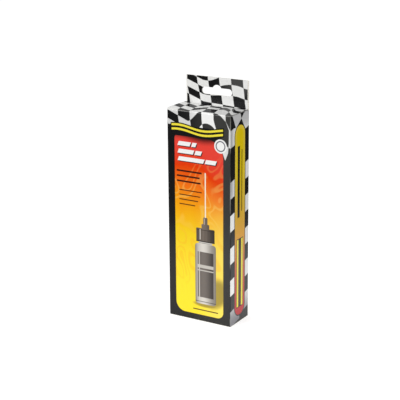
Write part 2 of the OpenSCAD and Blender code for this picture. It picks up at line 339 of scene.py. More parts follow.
def flag(u, v):
    """A waving racing check up the front's top and over the lid."""
    u = u + (v - LID_V).most(0.0) * (u * LID_DRIFT_GROWTH + LID_DRIFT)
    sweep = sum((height - v).most(0.0) * rate for height, rate in SWEEPS)
    aside = column_lean(u, v.least(LID_V)) + sweep * u.soft(*SWEEP_U)
    columns = (u - CHECK_START - aside) / CHECK_W
    crest = u.soft(*CREST_RISE) * u.soft(*CREST_FALL)
    level = v - stepped(u, crest * CREST_HEIGHT + FRONT_ROW_V, FRONT_SLOPES, "LINEAR")
    arch = ((u - ARCH_MID) * (u - ARCH_MID) * u.soft(*ARCH_START) * ARCH_BEND).least(ARCH_MOST)
    under = stepped(u, stepped(u, arch + UNDER_ROW, UNDER_STEPS), UNDER_SLOPES, "LINEAR")
    first = stepped(u, FIRST_ROW, FIRST_STEPS)
    later = stepped(u, LATER_ROW, LATER_STEPS)
    rows = level.least(0.0) / under + level.most(0.0).least(first) / first
    rows = rows + (level - first).most(0.0) / later + FRONT_COUNT
    on_lid = v.ramp(HEIGHT, HEIGHT + LID_BLEND)
    dark = on_lid.between(black_with_sheen(u, v), BLACK)
    # The lid's white darkens to the right: painted shade
    lid_white = u.soft(*LID_SHADE_U).between(TAB_WHITE, LID_PAINTED_SHADE)
    pale = on_lid.between(crest.between(FLAG_SHADE, WHITE), lid_white)
    return check(columns, rows).between(dark, pale)


# The tab's check: its row line's height, slopes and soft steps, and the rows under and over that line
TAB_ROW_V = 177.7
TAB_SLOPES = [(40.0, 0.0, 3.8), (14.0, 0.0, 3.7)]
TAB_STEPS = [(40.0, 50.0, -1.8), (16.0, 38.0, 0.8)]
TAB_UNDER, TAB_OVER, TAB_OVER_STEPS = 6.8, 5.0, [(16.0, 38.0, 2.5)]
TAB_COUNT = 1.02
# Pull of its columns to the left (up, across, mm), and where painted sheen lightens its black (across, up)
TAB_PULL_V, TAB_PULL_U, TAB_PULL = (174.0, 182.0), (8.0, 24.0), 0.9
TAB_SHEEN_U, TAB_SHEEN_V = (24.0, 40.0), (183.0, 192.0)


def tab_flag(u, v):
    """A smaller, straighter check for the hang tab, the back and the tuck flap."""
    pulled = v.ramp(*TAB_PULL_V) * u.ramp(*TAB_PULL_U) * TAB_PULL
    columns = (u - CHECK_START - column_lean(u, v) + pulled) / CHECK_W
    level = v - stepped(u, stepped(u, TAB_ROW_V, TAB_SLOPES, "LINEAR"), TAB_STEPS)
    rows = level.least(0.0) / TAB_UNDER + level.most(0.0) / stepped(u, TAB_OVER, TAB_OVER_STEPS)
    # Its black lightens towards the top right: painted sheen
    dark = (u.soft(*TAB_SHEEN_U) * v.soft(*TAB_SHEEN_V)).between(BLACK, TAB_SHEEN_BLACK)
    return check(columns, rows + TAB_COUNT).between(dark, TAB_WHITE)


# The warm field on the front and back: its area, and its colour up the board
FIELD = (5.9, 44.6, 5.0, 134.0)
FIELD_HEAT = [
    (20.0, YELLOW),
    (60.0, CORN),
    (80.0, AMBER),
    (97.0, ORANGE),
    (110.0, FLAME),
    (124.0, RED),
]
# Corner radii of the field: low left, low right, top left, top right
FIELD_RADII = (7.4, 4.8, 1.5, 13.0)
# Drift of its colours: grain along x, y and z, reach in mm, and their slope across
DRIFT_GRAIN, DRIFT_REACH, HEAT_SLOPE = (0.05, 0.05, 0.024), 24.0, 0.3
# Paler colour at the right: where it sets in across and downwards, and its strength
PALE_U, PALE_V, PALE_SHARE = (20.0, 44.0), (112.0, 40.0), 0.5
# Curls: grain, twist and number, then ink, where they fade above and below, and strength
CURL_GRAIN, CURL_TWIST, CURL_COUNT = (0.05, 0.05, 0.03), 1.6, 34.0
CURLS = [(GLOW, (128.0, 96.0), (56.0, 84.0), 0.24), (AMBER, (84.0, 56.0), (16.0, 44.0), 0.3)]


def warm_field(place, u, v):
    """(colour, mask) of the warm field with round corners."""
    u0, u1, v0, v1 = FIELD
    low_left, low_right, top_left, top_right = FIELD_RADII
    right = u.over((u0 + u1) / 2)
    low = right.spread(low_left, low_right)
    top = right.spread(top_left, top_right)
    radius = v.over((v0 + v1) / 2).spread(low, top)
    mask = inside(round_box_off(u, v, FIELD, radius))
    drift = place.stretch(*DRIFT_GRAIN).noise(detail=2.0, rough=0.45)
    level = v + (u - HALF_W) * HEAT_SLOPE + (drift - 0.5) * DRIFT_REACH
    colour = heat(level, FIELD_HEAT).paint(GLOW, u.soft(*PALE_U) * v.soft(*PALE_V) * PALE_SHARE)
    wisp = place.stretch(*CURL_GRAIN).noise(detail=0.0, twist=CURL_TWIST)
    curl = (wisp * CURL_COUNT).sin().soft(0.0, 1.0)
    for ink, above, below, strength in CURLS:
        colour = colour.paint(ink, curl * v.soft(*above) * v.soft(*below) * strength)
    return colour, mask


# Marks on the front: slanted speed bars with a thin shadow, and rules
SPEED_LEAN, SPEED_SHADOW = 0.4, 0.6
SPEED_BARS = [
    (8.2, 18.0, 127.2, 130.2),
    (19.2, 22.6, 127.2, 130.2),
    (8.2, 20.6, 121.8, 124.8),
    (21.8, 26.8, 121.8, 124.8),
    (8.2, 28.8, 116.4, 119.4),
    (30.0, 38.4, 116.4, 119.4),
]
BOLD_RULES = [(7.4, 27.6, 108.7, 109.9), (7.4, 26.0, 105.0, 106.2), (7.4, 26.8, 101.3, 102.5)]
FINE_RULES = [
    (9.4, 27.6, 95.2, 95.9),
    (9.4, 26.4, 91.8, 92.5),
    (9.4, 24.6, 88.4, 89.1),
    (9.4, 22.2, 85.0, 85.7),
]
FOOT_RULE = [(20.0, 40.4, 8.3, 9.1)]
# A plain disc: middle and radius, and the radius and half width of the ring on it
DISC_MIDDLE, DISC_R = (42.5, 130.2), 4.9
RING_R, RING_HALF = 3.4, 0.4
# A double ribbon: height, swing, turn per mm and start of its wave, middle and half length
RIBBON_V, RIBBON_SWING, RIBBON_RATE, RIBBON_START = 138.9, 1.3, 0.155, 0.2
RIBBON_MID, RIBBON_REACH = 24.0, 20.4
# Its two lines' offset and half width, half width of its black border and more at the ends, and the shadow
# under it (down, across)
LINE_OFF, LINE_HALF = 1.5, 0.75
BORDER_OFF, BORDER_END = 3.1, 0.8
SHADOW_V, SHADOW_U = (-9.5, -3.0), (48.0, 40.0)
# Foot of the front's check: height, lowest point, and the tail at the right (start, edge, drop, slope)
FLAG_FOOT, FLAG_LOWEST = 141.4, 119.8
TAIL_U, TAIL_EDGE, TAIL_DROP, TAIL_SLOPE = 44.4, 0.6, 16.4, 2.38

# The drawing of a needle tube on the front: its middle and foot, its parts about these, and its colours
PICTURE_U, PICTURE_V = 30.4, 13.5
PICTURE_BODY, PICTURE_BODY_R = (-8.4, 8.4, 0.0, 45.0), 2.2
PICTURE_NECK = (-5.4, 5.4, 44.6, 47.0)
PICTURE_LABEL = (-6.4, 6.4, 5.0, 39.0)
PICTURE_BANDS = [(-6.4, 6.4, 27.0, 29.4), (-6.4, 6.4, 24.8, 25.6)]
PICTURE_SHINE = [(-5.5, -4.7, 2.0, 43.0), (-4.6, -3.9, 48.0, 55.6), (-1.0, -0.6, 59.4, 63.8)]
PICTURE_RIMS = [
    (-7.4, 7.4, 46.4, 47.1),
    (-7.4, 7.4, 55.0, 55.4),
    (-5.4, 5.4, 45.4, 45.7),
    (-8.4, 8.4, 1.5, 1.9),
]
PICTURE_CAP = [
    ((-7.4, 7.4, 46.4, 56.4), 0.8),
    ((-3.1, 3.1, 56.0, 59.6), 0.6),
    ((-1.7, 1.7, 59.0, 64.6), 0.9),
]
PICTURE_NEEDLE = (-0.5, 0.5, 64.4, 96.5)
NEEDLE_EDGE, NEEDLE_LIGHT = 0.1, (-0.6, 0.1)
# Its light (turn per mm across and start), the dark edge of its wall (where, strength), and the flutes of its
# cap (turn per mm, foot, top, strength)
LIT_RATE, LIT_START = -0.35, 0.9
WALL_EDGE, WALL_EDGE_INK = (6.9, 8.4), 0.8
FLUTE_RATE, FLUTE_FOOT, FLUTE_TOP, FLUTE_INK = 5.4, (46.6, 47.4), (55.2, 54.8), 0.6
# Its drawn shadow: lean, middle, reach and fade, and the same at its foot
SHADE_LEAN, SHADE_MIDDLE, SHADE_REACH, SHADE_FADE = 0.25, (6.0, 9.0), (11.0, 13.0), (1.1, 0.35)
CONTACT_MIDDLE, CONTACT_REACH, CONTACT_FADE = (0.0, -0.2), (12.0, 2.6), (1.0, 0.3)
SHADE_INK = 0.85
PICTURE_SHADE = screen(150, 128, 50)
PLASTIC_DARK, PLASTIC_LIT = screen(140, 134, 126), screen(216, 211, 203)
FILM_DARK, FILM_LIT = screen(56, 50, 47), screen(112, 104, 98)
CAP_DARK, CAP_LIT = screen(50, 43, 38), screen(118, 106, 96)
CAP_LINE, PLASTIC_EDGE, PICTURE_GLINT = screen(40, 34, 30), screen(112, 106, 100), screen(206, 199, 190)
NEEDLE_DARK, NEEDLE_LIT = screen(206, 178, 140), screen(252, 244, 226)
SILVER = screen(196, 191, 183)


def tube_drawing(colour, u, v, field):
    """A plain upright drawing of the needle tube, its shadow kept inside the warm field."""
    a = u - PICTURE_U
    b = v - PICTURE_V
    shade = oval_off(a - b * SHADE_LEAN, b, SHADE_MIDDLE, SHADE_REACH).soft(*SHADE_FADE)
    contact = oval_off(a, b, CONTACT_MIDDLE, CONTACT_REACH).soft(*CONTACT_FADE)
    colour = colour.paint(PICTURE_SHADE, shade.most(contact) * field * SHADE_INK)
    lit = (a * LIT_RATE + LIT_START).sin().ramp(-1.0, 1.0)
    colour = colour.paint(PLASTIC_LIT, inside(box_off(a, b, PICTURE_NECK)))
    wall = lit.between(PLASTIC_DARK, PLASTIC_LIT)
    wall = wall.paint(PLASTIC_EDGE, abs(a).soft(*WALL_EDGE) * WALL_EDGE_INK)
    colour = colour.paint(wall, inside(round_box_off(a, b, PICTURE_BODY, PICTURE_BODY_R)))
    colour = colour.paint(lit.between(FILM_DARK, FILM_LIT), inside(box_off(a, b, PICTURE_LABEL)))
    colour = bars(colour, a, b, SILVER, PICTURE_BANDS)
    flutes = (a * FLUTE_RATE).sin().soft(0.1, 0.9) * b.ramp(*FLUTE_TOP) * b.ramp(*FLUTE_FOOT)
    cap = lit.between(CAP_DARK, CAP_LIT).paint(CAP_LINE, flutes * FLUTE_INK)
    for area, radius in PICTURE_CAP:
        colour = colour.paint(cap, inside(round_box_off(a, b, area, radius)))
    colour = bars(colour, a, b, CAP_LINE, PICTURE_RIMS)
    colour = bars(colour, a, b, PICTURE_GLINT, PICTURE_SHINE)
    needle = inside(box_off(a, b, PICTURE_NEEDLE), NEEDLE_EDGE)
    return colour.paint(a.ramp(*NEEDLE_LIGHT).between(NEEDLE_DARK, NEEDLE_LIT), needle)


def front_print(place, u, v):
    """Check above, ribbon across, warm field below with its bars and the tube drawing."""
    field, field_mask = warm_field(place, u, v)
    colour = field_mask.between(black_with_sheen(u, v), field)
    ribbon = (u * RIBBON_RATE + RIBBON_START).sin() * RIBBON_SWING + RIBBON_V
    colour = colour.paint(BLACK, (v - ribbon).soft(*SHADOW_V) * u.ramp(*SHADOW_U))
    tail = (u - TAIL_U).most(0.0) * TAIL_SLOPE + u.ramp(TAIL_U - TAIL_EDGE, TAIL_U) * TAIL_DROP
    colour = colour.paint(flag(u, v), inside((FLAG_FOOT - tail).most(FLAG_LOWEST) - v))
    off = abs(v - ribbon)
    past = abs(u - RIBBON_MID) - RIBBON_REACH
    colour = colour.paint(BLACK, inside((off - BORDER_OFF).most(past - BORDER_END)))
    colour = colour.paint(RIBBON, inside((abs(off - LINE_OFF) - LINE_HALF).most(past)))
    colour = bars(colour, u - SPEED_SHADOW, v + SPEED_SHADOW, BLACK, SPEED_BARS, SPEED_LEAN)
    colour = bars(colour, u, v, WHITE, SPEED_BARS, SPEED_LEAN)
    colour = bars(colour, u, v, RULE_BROWN, BOLD_RULES + FINE_RULES)
    disc = oval_off(u, v, DISC_MIDDLE, (1.0, 1.0)).root()
    colour = colour.paint(WHITE, inside(disc - DISC_R))
    colour = colour.paint(DISC_GREY, inside(abs(disc - RING_R) - RING_HALF))
    colour = tube_drawing(colour, u, v, field_mask)
    return bars(colour, u, v, RULE_BROWN, FOOT_RULE)


# A side's check, two squares across. In its front half and in the half near the back: start of the rows,
# height of a row, number of rows under the one long row, and where across the sloping row lines are measured
SIDE_START, SIDE_ROW, SIDE_COUNT, SIDE_LINE_U = (12.0, 8.3), (11.8, 11.99), (8.0, 9.0), (3.0, 23.0)
SIDE_SLOPE, LONG_ROW, TOP_ROW = 0.25, 24.0, 11.8
# The hourglass on top: its waist, drop of its foot, slopes (lower, upper) in front of the waist and behind,
# and the line that it starts from near the front fold (height, place, slope)
GLASS_U, GLASS_V, GLASS_DROP = 15.0, 147.6, 5.0
GLASS_FRONT, GLASS_BACK = (0.7, 2.5), (1.6, 0.95)
GLASS_EDGE_V, GLASS_EDGE_U, GLASS_EDGE_SLOPE = 149.0, 3.9, 0.5
# Where the pale squares are grey: darker towards the foot, and painted shade at the front fold (across, up,
# strength), the top and the back
FOOT_FADE = (2.0, 26.0)
FOLD_SHADE_U, FOLD_SHADE_V, FOLD_SHADE = (6.0, 0.0), (84.0, 100.0), 0.8
TOP_SHADE_V, TOP_SHADE = (136.0, 147.0), 0.5
BACK_SHADE_U, BACK_SHADE = (17.0, 22.0), 0.2
# The warm strip down the side: area, corner radius, black border, and its paler rim (inwards, up, strength)
STRIP, STRIP_R, STRIP_BORDER = (6.2, 20.0, 5.6, 143.4), 6.8, 0.8
RIM_IN, RIM_V, RIM = (-3.4, -0.8), (60.0, 95.0), 0.25
STRIP_HEAT = [
    (12.0, CRIMSON),
    (40.0, screen(204, 92, 58)),
    (62.0, screen(224, 160, 54)),
    (88.0, screen(214, 178, 46)),
    (112.0, GOLD),
]
STRIP_DARK = [(9.8, 12.8, 78.0, 129.0), (15.2, 16.1, 82.0, 126.0)]
STRIP_PATCH = [(8.4, 17.9, 11.4, 62.6)]
STRIP_LINES = [(9.0, 11.2, 12.0, 62.0), (15.1, 17.3, 12.0, 62.0)]


def side_check(u, v):
    """1 on the pale squares of a side; the rows of the half near the back sit a little lower."""
    back = u.over(HALF_D)
    start = back.spread(*SIDE_START)
    row = back.spread(*SIDE_ROW)
    long_v = start + row * back.spread(*SIDE_COUNT)
    level = v - (u - back.spread(*SIDE_LINE_U)) * SIDE_SLOPE
    rows = (level.least(long_v) - start) / row + (level - long_v).most(0.0).least(LONG_ROW) / LONG_ROW
    rows = rows + (level - long_v - LONG_ROW).most(0.0) / TOP_ROW
    squares = 1 - check(u / HALF_D, rows)
    upper = v.over(GLASS_V)
    slope = u.over(GLASS_U).spread(upper.spread(*GLASS_FRONT), upper.spread(*GLASS_BACK))
    glass = abs(v - GLASS_V) - abs(u - GLASS_U) * slope
    edge = (GLASS_EDGE_V - v) * GLASS_EDGE_SLOPE + GLASS_EDGE_U
    wings = inside(glass) * inside(edge - u)
    return inside(GLASS_V - GLASS_DROP - v).spread(squares, wings)


def side_print(place, u, v):
    """Upright check with a warm strip down its middle; u runs from the front fold."""
    # Painted shade: the pale squares darken near the front fold, at the top and towards the back
    painted_shade = (u.ramp(*FOLD_SHADE_U) * v.soft(*FOLD_SHADE_V) * FOLD_SHADE).most(v.soft(*TOP_SHADE_V) * TOP_SHADE)
    painted_shade = painted_shade.most(u.soft(*BACK_SHADE_U) * BACK_SHADE)
    cloth = v.soft(*FOOT_FADE).between(FOOT_AND_SHADE_GREY, WHITE).paint(FOOT_AND_SHADE_GREY, painted_shade)
    colour = side_check(u, v).between(BLACK, cloth)
    strip = round_box_off(u, v, STRIP, STRIP_R)
    colour = colour.paint(BLACK, inside(strip - STRIP_BORDER))
    warm = heat(v, STRIP_HEAT).paint(STRIP_PALE, strip.soft(*RIM_IN) * v.soft(*RIM_V) * RIM)
    colour = colour.paint(warm, inside(strip))
    colour = bars(colour, u, v, BLACK, STRIP_DARK)
    colour = bars(colour, u, v, RULE_BROWN, STRIP_PATCH)
    return bars(colour, u, v, RIBBON, STRIP_LINES)


# The back: the tab's check down to a wavy foot (height, turn per mm, swing), a blank patch and rules
BACK_FOOT, BACK_RATE, BACK_SWING = 137.5, 0.16, 2.0
BACK_PATCH, BACK_PATCH_R = (9.5, 40.0, 14.0, 62.0), 2.5
BACK_RULES = [(12.5, 37.0, v, v + 0.8) for v in (92.0, 88.4, 84.8, 81.2, 77.6)]


def back_print(place, u, v):
    field, field_mask = warm_field(place, u, v)
    colour = field_mask.between(black_with_sheen(u, v), field)
    foot = BACK_FOOT + (u * BACK_RATE).sin() * BACK_SWING
    colour = colour.paint(tab_flag(u, v + DEPTH), inside(foot - v))
    colour = bars(colour, u, v, RULE_BROWN, BACK_RULES)
    return colour.paint(WHITE, inside(round_box_off(u, v, BACK_PATCH, BACK_PATCH_R)))


def lid_print(place, u, v):
    return flag(u, v)


def tab_print(place, u, v):
    return tab_flag(u, v)


def foot_print(place, u, v):
    """Solid black with faint streaks of the ink."""
    streak = place.stretch(0.5, 0.05, 0.5).noise(detail=3.0)
    return streak.soft(0.4, 0.8).between(BLACK, FOOT_BLACK)


# Each piece's place on the unfolded board: u across it, v up it, in mm


def front_uv(x, y, z):
    return x + HALF_W, z


def side_uv(x, y, z):
    return y + HALF_D, z


def back_uv(x, y, z):
    return HALF_W - x, z


def lid_uv(x, y, z):
    return x + HALF_W, y + (HALF_D + HEIGHT)


def tab_uv(x, y, z):
    return x + HALF_W, z + DEPTH


def dust_uv(x, y, z):
    return y + HALF_D, (HEIGHT + HALF_W) - abs(x)


def tuck_uv(x, y, z):
    return x + HALF_W, (HEIGHT * 2 + DEPTH) - z


def front_folds(x, y, z):
    """Distance in mm to the nearest fold or foot of the front."""
    return (HALF_W - abs(x)).least(HEIGHT - z).least(z)


def side_folds(x, y, z):
    return (HALF_D - abs(y)).least(z)


def lid_folds(x, y, z):
    return (y + HALF_D).least(HALF_W - abs(x))


# Depth in mm of the board's waves where it is printed and where it is bare, and the share of waves and grain
PRINT_WAVES, BARE_WAVES = 0.5, 0.7
WAVE_SHARE, GRAIN_SHARE = 0.9, 0.02


def board_waves(finish, depth):
    """The board's faint waviness and paper grain."""
    waves = finish.place.noise(scale=0.06, detail=1.0)
    grain = finish.place.noise(scale=2.4, detail=3.0)
    finish.bump(waves * WAVE_SHARE + grain * GRAIN_SHARE, depth)


# Strength of the varnish's reflection on the panels, the lid and the flat flaps
GLOSS, LID_GLOSS, FLAP_GLOSS = 0.3, 0.025, 0.2
# Rub along the folds: its reach in mm, and how much paler and duller it is
RUB_REACH, RUB_PALE, RUB_DULL = (0.6, 0.05), 0.4, 0.2


def printed(name, ink, u_v, folds, gloss=GLOSS):
    """Gloss-varnished print, rubbed pale here and there along the folds."""
    finish = Finish(name)
    place = finish.place
    x, y, z = place.split()
    u, v = u_v(x, y, z)
    streaks = place.noise(scale=0.09, detail=1.0).soft(0.44, 0.66)
    rub = streaks * folds(x, y, z).ramp(*RUB_REACH)
    finish.put("Base Color", ink(place, u, v).paint(BARE, rub * RUB_PALE))
    smear = place.noise(scale=0.12, detail=3.0, rough=0.6)
    finish.put("Roughness", smear.spread(0.12, 0.26) + rub * RUB_DULL)
    finish.put("Specular IOR Level", gloss)
    board_waves(finish, PRINT_WAVES)
    return finish.material


PAPER_DARK, PAPER_LIGHT = screen(226, 223, 214), screen(244, 242, 237)
PAPER_SPECK, EDGE_INK = screen(176, 166, 148), screen(62, 60, 58)


def paper(place):
    """Uncoated white board with short fibres and a few darker specks: (colour, fibres)."""
    fibre = place.stretch(3.0, 3.0, 0.7).noise(detail=4.0, rough=0.6)
    colour = fibre.soft(0.3, 0.7).between(PAPER_DARK, PAPER_LIGHT)
    specks = place.noise(scale=1.1).soft(0.70, 0.76)
    return colour.paint(PAPER_SPECK, specks * 0.6), fibre


def bare_board():
    finish = Finish("bare_board")
    colour, fibre = paper(finish.place)
    finish.put("Base Color", colour)
    finish.put("Roughness", fibre.spread(0.68, 0.88))
    board_waves(finish, BARE_WAVES)
    return finish.material


def cut_edge():
    """The board's cut rim: grey paper with ink dragged over it."""
    finish = Finish("cut_edge")
    colour, fibre = paper(finish.place)
    drag = finish.place.noise(scale=1.2, detail=3.0, rough=0.6).soft(0.35, 0.6)
    finish.put("Base Color", colour.paint(EDGE_INK, drag.spread(0.5, 0.95)))
    finish.put("Roughness", fibre.spread(0.7, 0.9))
    return finish.material


# How squarely a face looks along its axis to be printed, how much smoother print is than bare board,
# how far the print runs past the fold on a dust flap in mm, and round the fold in board thicknesses
FACING, PRINT_SMOOTH = 0.35, 0.52
DUST_BLEED, FOLD_WRAP = 3.0, 1.5


def faced(name, ink, u_v, axis, sign, bleed=None):
    """Print on the faces that look along one axis, with bleed only near the side folds; bare elsewhere."""
    finish = Finish(name)
    place = finish.place
    x, y, z = place.split()
    u, v = u_v(x, y, z)
    looks = finish.start.node("ShaderNodeTexCoord", out="Normal").split()[axis] * sign
    outside = looks.over(FACING)
    if bleed:
        past = HALF_W - abs(x)
        outside = (outside * inside(past - bleed)).most(inside(past - BOARD * FOLD_WRAP))
    colour, fibre = paper(place)
    finish.put("Base Color", colour.paint(ink(place, u, v), outside))
    finish.put("Roughness", fibre.spread(0.7, 0.8) - outside * PRINT_SMOOTH)
    finish.put("Specular IOR Level", FLAP_GLOSS)
    board_waves(finish, PRINT_WAVES)
    return finish.material


# Distance in metres within which points are joined, and the angle in degrees from which an edge is sharp
WELD = 1e-7
SHARP_BOARD, SHARP_HEAP = 40.0, 60.0


def add_piece(name, verts, faces, materials, indices, sharp):
    """A closed mesh from millimetre points; indices gives each face's material."""
    mesh = bpy.data.meshes.new(name)
    mesh.from_pydata([[c * MM for c in v] for v in verts], [], faces)
    for material in materials:
        mesh.materials.append(material)
    for face, index in zip(mesh.polygons, indices):
        face.material_index = index
        face.use_smooth = True
    work = bmesh.new()
    work.from_mesh(mesh)
    bmesh.ops.remove_doubles(work, verts=work.verts, dist=WELD)
    bmesh.ops.recalc_face_normals(work, faces=work.faces)
    for line in work.edges:
        if len(line.link_faces) == 2 and line.calc_face_angle() > math.radians(sharp):
            line.smooth = False
    work.to_mesh(mesh)
    work.free()
    piece = bpy.data.objects.new(name, mesh)
    bpy.context.collection.objects.link(piece)
    return piece


def skin_faces(rows, columns):
    """Faces of a board of an outer and an inner grid: (faces, 0 outside, 1 inside or 2 for the rim)."""
    back = rows * columns
    faces, indices = [], []

    def add(face, index):
        faces.append(face)
        indices.append(index)

    for r in range(rows - 1):
        for c in range(columns - 1):
            a = r * columns + c
            b = a + columns
            add((a, a + 1, b + 1, b), 0)
            add((back + a, back + b, back + b + 1, back + a + 1), 1)
    for r in range(rows - 1):
        for c in (0, columns - 1):
            a = r * columns + c
            add((a, a + columns, back + a + columns, back + a), 2)
    for c in range(columns - 1):
        for r in (0, rows - 1):
            a = r * columns + c
            add((a, a + 1, back + a + 1, back + a), 2)
    return faces, indices


# Steps along a wall's flat and round half a fold, up the wall, and up the roll into the lid
FLAT_STEPS, FOLD_STEPS, WALL_ROWS, ROLL_ROWS = 28, 5, 42, 4
# Half folds at a wall's two ends: side and first angle, and the angle that each turns through, degrees
FOLD_ENDS, HALF_FOLD = ((-1, 225), (1, 270)), 45


def wall_path(half, reach):
    """A wall from mitre to mitre along x, facing -y: (x, y, nx, ny, share of the flat passed)."""
    path = []
    centre = half - FOLD_R
    for side, first in FOLD_ENDS:
        for i in range(FOLD_STEPS + 1):
            turn = math.radians(first + HALF_FOLD * i / FOLD_STEPS)
            nx, ny = math.cos(turn), math.sin(turn)
            x = side * centre + FOLD_R * nx
            path.append((x, FOLD_R - reach + FOLD_R * ny, nx, ny, (side + 1) / 2))
        if side < 0:
            for i in range(1, FLAT_STEPS):
                s = i / FLAT_STEPS
                path.append((centre * (2 * s - 1), -reach, 0.0, -1.0, s))
    return path


# Unevenness of a bowed panel: waves (turn up it, turn across, share of the seed, height), their share of the
# bow, and how fast the bow sets in from an end
BOW_WAVES = [(5.1, 0.0, 1.0, 0.5), (11.0, 2.0, 1.7, 0.3)]
BOW_UNEVEN, BOW_ENDS = 0.45, 6.0


def bow(s, h, seed):
    """Slow unevenness of a board panel, 0 at its folds and ends."""
    uneven = 0.0
    for up, across, share, height in BOW_WAVES:
        uneven += math.sin(up * h + across * s + share * seed) * height
    ends = min(1.0, BOW_ENDS * h, BOW_ENDS * (1.0 - h))
    return (1.0 + BOW_UNEVEN * uneven) * 4.0 * s * (1.0 - s) * ends


def rolled_in(z):
    """How far the front leans in where it rolls over into the lid."""
    rise = max(0.0, z - (HEIGHT - LID_FOLD_R))
    return LID_FOLD_R - math.sqrt(LID_FOLD_R**2 - rise**2)


def wall_piece(name, half, reach, top, bulge, turn, print_material, seed, rolls):
    """One upright board panel with rounded folds, bowed a little outwards."""
    path = wall_path(half, reach)
    low = top - LID_FOLD_R / 2 if rolls else top
    levels = [BOARD + (low - BOARD) * r / WALL_ROWS for r in range(WALL_ROWS + 1)]
    if rolls:
        levels += [low + (top - low) * r / ROLL_ROWS for r in range(1, ROLL_ROWS + 1)]
    cosine, sine = turn
    verts = []
    for skin in (0.0, BOARD):
        for z in levels:
            h = (z - BOARD) / (top - BOARD)
            lean = rolled_in(z) if rolls else 0.0
            for x, y, nx, ny, s in path:
                out = bulge * bow(s, h, seed) - skin - lean
                px, py = x + nx * out, y + ny * out
                verts.append((px * cosine - py * sine, px * sine + py * cosine, z))
    faces, indices = skin_faces(len(levels), len(path))
    return add_piece(name, verts, faces, [print_material, BARE_BOARD, CUT_EDGE], indices, SHARP_BOARD)


# Steps round each of the lid's folds, from fold to fold, and across it
LID_FOLD_STEPS, LID_FLAT_STEPS, LID_STEPS = 6, 16, 30
# Rise of the lid in its middle and at its left end, mm, and the share of its length that curls
LID_CROWN, LID_CURL, CURL_SHARE = 0.22, 0.8, 0.3
# Unevenness of the crown: its share, and its turn along and across
CROWN_UNEVEN, CROWN_TURN, CROWN_SLANT = 0.5, 7.0, 3.0


def lid_profile():
    """The lid's outer line from its front fold to its back fold: (y, z)."""
    front, back, under = LID_LOW[1], LID_HIGH[1], LID_LOW[2]
    first = math.asin((under - (HEIGHT - LID_FOLD_R)) / LID_FOLD_R)
    line = []
    for i in range(LID_FOLD_STEPS + 1):
        a = first + (math.pi / 2 - first) * i / LID_FOLD_STEPS
        y = front + LID_FOLD_R * (1 - math.cos(a))
        line.append((y, HEIGHT - LID_FOLD_R + LID_FOLD_R * math.sin(a)))
    y0, y1 = front + LID_FOLD_R, back - BOARD
    line += [(y0 + (y1 - y0) * i / LID_FLAT_STEPS, HEIGHT) for i in range(1, LID_FLAT_STEPS)]
    for i in range(LID_FOLD_STEPS + 1):
        a = math.pi / 2 * i / LID_FOLD_STEPS
        line.append((y1 + BOARD * math.sin(a), under + BOARD * math.cos(a)))
    return line


def lid_piece(name):
    """The lid with rolled front and back folds, a slight uneven crown and a curled left end."""
    line = lid_profile()
    half, under = LID_HIGH[0], LID_LOW[2]
    front, back = line[0][0], line[-1][0]
    outer, inner = [], []
    for j in range(LID_STEPS + 1):
        t = j / LID_STEPS
        x = half * (2 * t - 1)
        for y, z in line:
            s = (y - front) / (back - front)
            crown = LID_CROWN * 16.0 * s * (1 - s) * t * (1 - t)
            crown *= 1.0 + CROWN_UNEVEN * math.sin(CROWN_TURN * t + CROWN_SLANT * s)
            crown += LID_CURL * max(0.0, 1.0 - t / CURL_SHARE) ** 2
            outer.append((x, y, z + crown * (z - under) / BOARD))
            inner.append((x, y, under))
    faces, indices = skin_faces(LID_STEPS + 1, len(line))
    materials = [LID_PRINT, BARE_BOARD, CUT_EDGE]
    return add_piece(name, outer + inner, faces, materials, indices, SHARP_BOARD)


BARE_BOARD = bare_board()
CUT_EDGE = cut_edge()
FRONT_PRINT = printed("front_print", front_print, front_uv, front_folds)
RIGHT_PRINT = printed("right_print", side_print, side_uv, side_folds)
LEFT_PRINT = printed("left_print", side_print, side_uv, side_folds)
LID_PRINT = printed("lid_print", lid_print, lid_uv, lid_folds, LID_GLOSS)

# Panels: name, node it stands for, half length, distance from the middle, top, bow in mm,
# turn (cosine, sine), print, seed of its bow, and whether it rolls into the lid
WALLS = [
    ("front_board", "front_panel", HALF_W, HALF_D, LID_LOW[2], 0.16, (1, 0), FRONT_PRINT, 0.3, True),
    ("right_board", "right_panel", HALF_D, HALF_W, SIDE_TOP, 0.10, (0, 1), RIGHT_PRINT, 1.9, False),
    ("left_board", "left_panel", HALF_D, HALF_W, SIDE_TOP, 0.10, (0, -1), LEFT_PRINT, 4.2, False),
]


def stand_for(piece, body, node):
    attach(piece, body)
    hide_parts(node)


def place_carton():
    """The bowed panels and the lid."""
    for name, node, *shape in WALLS:
        stand_for(wall_piece(name, *shape), "carton", node)
    stand_for(lid_piece("lid_board"), "lid", "top_lid")


def set_material(node, material):
    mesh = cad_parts[node].data
    mesh.materials.clear()
    mesh.materials.append(material)


def finish_flaps():
    """Finishes of the flat pieces that keep their shape."""
    set_material("back_panel", faced("back_print", back_print, back_uv, 1, 1.0))
    set_material("hang_tab_fold", faced("tab_print", tab_print, tab_uv, 1, -1.0))
    set_material("tuck_flap", faced("tuck_print", tab_print, tuck_uv, 1, 1.0))
    set_material("bottom_outer_flap", faced("foot_print", foot_print, front_uv, 2, -1.0))
    dust = faced("dust_print", side_print, dust_uv, 2, 1.0, DUST_BLEED)
    set_material("left_dust_flap", dust)
    set_material("right_dust_flap", dust)
    for node in ("glue_flap", "bottom_inner_flap", "bottom_left_flap", "bottom_right_flap"):
        set_material(node, BARE_BOARD)


